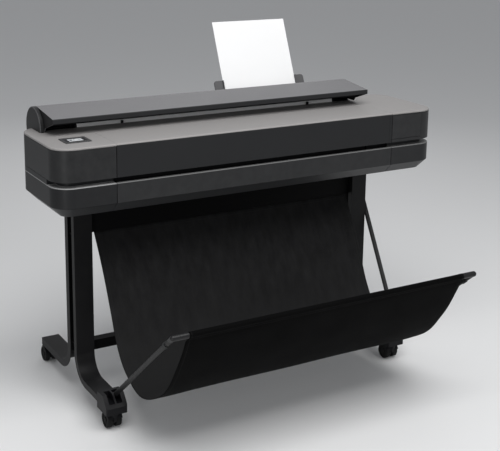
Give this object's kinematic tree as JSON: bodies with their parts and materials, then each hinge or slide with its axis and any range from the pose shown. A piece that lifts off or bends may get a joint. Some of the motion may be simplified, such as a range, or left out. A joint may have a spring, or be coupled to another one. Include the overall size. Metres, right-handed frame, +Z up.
{
  "type": "large format plotter",
  "caption": "Wide roll-fed plotter on a wheeled stand, with a hinged lid, a roll cover, a rear sheet feeder and a hanging fabric bin below.",
  "frame": {"origin": "on the floor, under the middle of the whole machine", "axes": "+X to the right seen from the front, +Y to the rear, +Z up"},
  "size_m": [1.317, 0.9566, 1.1098],
  "materials": {
    "graphite_cover": "fine grained",
    "grey_top": "satin",
    "stand_paint": "semi-matte powder coat",
    "black_plastic": "grained",
    "tyre_grey": "matte",
    "guide_grey": "satin",
    "arm_paint": "satin",
    "bin_cloth": "woven nylon",
    "steel": "zinc plated",
    "roller_rubber": "matte",
    "brass_pulley": "turned",
    "board_green": "lacquered",
    "paper": "uncoated",
    "screen_glass": "bright display"
  },
  "bodies": {
    "root": {"bin_fabric": "bin_cloth", "bin_stay": "stand_paint", "carriage_belt": "roller_rubber", "carriage_rod": "steel", "chassis": "steel", "cross_brace": "stand_paint", "display_bezel": "black_plastic", "display_glass": "screen_glass", "foot_bracket_left": "black_plastic", "foot_bracket_right": "black_plastic", "hinge_pins": "steel", "ink_cartridges": "black_plastic", "leg_front_left": "stand_paint", "leg_front_right": "stand_paint", "leg_rear_left": "stand_paint", "leg_rear_right": "stand_paint", "lower_end_left": "graphite_cover", "lower_end_right": "graphite_cover", "lower_front": "graphite_cover", "main_board": "board_green", "motors": "steel", "platen": "black_plastic", "power_inlet": "black_plastic", "power_supply": "steel", "rear_cover": "graphite_cover", "roll_end_caps": "grey_top", "roll_trough": "black_plastic", "service_station": "black_plastic", "sheet": "paper", "sheet_tray": "black_plastic", "stand_bolts": "steel", "top_cover": "grey_top", "upper_beam": "stand_paint", "upper_end_left": "graphite_cover", "upper_end_right": "graphite_cover"},
    "lid": {"front_lid": "graphite_cover"},
    "roll_cover": {"roll_cover": "grey_top"},
    "ink_door": {"ink_door": "graphite_cover"},
    "roll": {"media_roll": "paper", "spindle": "guide_grey"},
    "bin_frame": {"bin_arm_left": "arm_paint", "bin_arm_right": "arm_paint", "bin_bar": "arm_paint", "bin_elbows": "guide_grey"},
    "carriage": {"carriage": "black_plastic"},
    "motor_pulley": {"motor_pulley": "brass_pulley"},
    "idler_pulley": {"idler_pulley": "brass_pulley"},
    "feed_roller": {"feed_roller": "roller_rubber"},
    "pinch_rollers": {"pinch_rollers": "roller_rubber"},
    "guide_left": {"sheet_guide_left": "guide_grey"},
    "guide_right": {"sheet_guide_right": "guide_grey"},
    "power_rocker": {"power_switch": "black_plastic"},
    "fork_front_left": {"caster_fork_front_left": "black_plastic"},
    "wheels_front_left": {"caster_wheels_front_left": "tyre_grey"},
    "fork_front_right": {"caster_fork_front_right": "black_plastic"},
    "wheels_front_right": {"caster_wheels_front_right": "tyre_grey"},
    "fork_rear_left": {"caster_fork_rear_left": "black_plastic"},
    "wheels_rear_left": {"caster_wheels_rear_left": "tyre_grey"},
    "fork_rear_right": {"caster_fork_rear_right": "black_plastic"},
    "wheels_rear_right": {"caster_wheels_rear_right": "tyre_grey"}
  },
  "joints": [
    {"name": "lid_hinge", "type": "hinge", "parent": "root", "child": "lid", "pos_m": [0, 0.0793, 0.845], "axis": [-1, 0, 0], "range_deg": [0, 60]},
    {"name": "roll_cover_hinge", "type": "hinge", "parent": "root", "child": "roll_cover", "pos_m": [0, 0.2073, 0.852], "axis": [-1, 0, 0], "range_deg": [0, 70]},
    {"name": "ink_door_hinge", "type": "hinge", "parent": "root", "child": "ink_door", "pos_m": [0.539, -0.0747, 0.763], "axis": [1, 0, 0], "range_deg": [0, 80]},
    {"name": "roll_spin", "type": "hinge", "parent": "root", "child": "roll", "pos_m": [0, 0.2113, 0.845], "axis": [1, 0, 0], "continuous": true},
    {"name": "bin_fold", "type": "hinge", "parent": "root", "child": "bin_frame", "pos_m": [0, -0.0727, 0.096], "axis": [-1, 0, 0], "range_deg": [0, 45]},
    {"name": "carriage_slide", "type": "slide", "parent": "root", "child": "carriage", "axis": [1, 0, 0], "range_m": [-0.88, 0]},
    {"name": "motor_pulley_spin", "type": "hinge", "parent": "root", "child": "motor_pulley", "pos_m": [0.466, 0.0793, 0.806], "axis": [0, 1, 0], "continuous": true},
    {"name": "idler_pulley_spin", "type": "hinge", "parent": "root", "child": "idler_pulley", "pos_m": [-0.49, 0.0793, 0.806], "axis": [0, 1, 0], "continuous": true},
    {"name": "feed_spin", "type": "hinge", "parent": "root", "child": "feed_roller", "pos_m": [0, 0.0673, 0.73], "axis": [1, 0, 0], "continuous": true},
    {"name": "pinch_spin", "type": "hinge", "parent": "root", "child": "pinch_rollers", "pos_m": [0, 0.0673, 0.7484], "axis": [1, 0, 0], "continuous": true},
    {"name": "guide_right_slide", "type": "slide", "parent": "root", "child": "guide_right", "axis": [1, 0, 0], "range_m": [0, 0.025]},
    {"name": "guide_left_slide", "type": "slide", "parent": "root", "child": "guide_left", "axis": [1, 0, 0], "range_m": [-0.025, 0]},
    {"name": "power_switch_rock", "type": "hinge", "parent": "root", "child": "power_rocker", "pos_m": [-0.384, 0.2263, 0.692], "axis": [1, 0, 0], "range_deg": [0, 16]},
    {"name": "swivel_front_left", "type": "hinge", "parent": "root", "child": "fork_front_left", "pos_m": [-0.506, -0.0927, 0.054], "axis": [0, 0, 1], "continuous": true},
    {"name": "roll_front_left", "type": "hinge", "parent": "fork_front_left", "child": "wheels_front_left", "pos_m": [-0.506, -0.0727, 0.025], "axis": [1, 0, 0], "continuous": true},
    {"name": "swivel_front_right", "type": "hinge", "parent": "root", "child": "fork_front_right", "pos_m": [0.506, -0.0927, 0.054], "axis": [0, 0, 1], "continuous": true},
    {"name": "roll_front_right", "type": "hinge", "parent": "fork_front_right", "child": "wheels_front_right", "pos_m": [0.506, -0.0727, 0.025], "axis": [1, 0, 0], "continuous": true},
    {"name": "swivel_rear_left", "type": "hinge", "parent": "root", "child": "fork_rear_left", "pos_m": [-0.506, 0.4213, 0.054], "axis": [0, 0, 1], "continuous": true},
    {"name": "roll_rear_left", "type": "hinge", "parent": "fork_rear_left", "child": "wheels_rear_left", "pos_m": [-0.506, 0.4533, 0.025], "axis": [1, 0, 0], "continuous": true},
    {"name": "swivel_rear_right", "type": "hinge", "parent": "root", "child": "fork_rear_right", "pos_m": [0.506, 0.4213, 0.054], "axis": [0, 0, 1], "continuous": true},
    {"name": "roll_rear_right", "type": "hinge", "parent": "fork_rear_right", "child": "wheels_rear_right", "pos_m": [0.506, 0.4533, 0.025], "axis": [1, 0, 0], "continuous": true}
  ],
  "couplings": [
    {"joint": "motor_pulley_spin", "follows": "carriage_slide", "rad_per_m": -125},
    {"joint": "idler_pulley_spin", "follows": "carriage_slide", "rad_per_m": -125},
    {"joint": "pinch_spin", "follows": "feed_spin", "ratio": -2},
    {"joint": "guide_left_slide", "follows": "guide_right_slide", "ratio": -1}
  ]
}
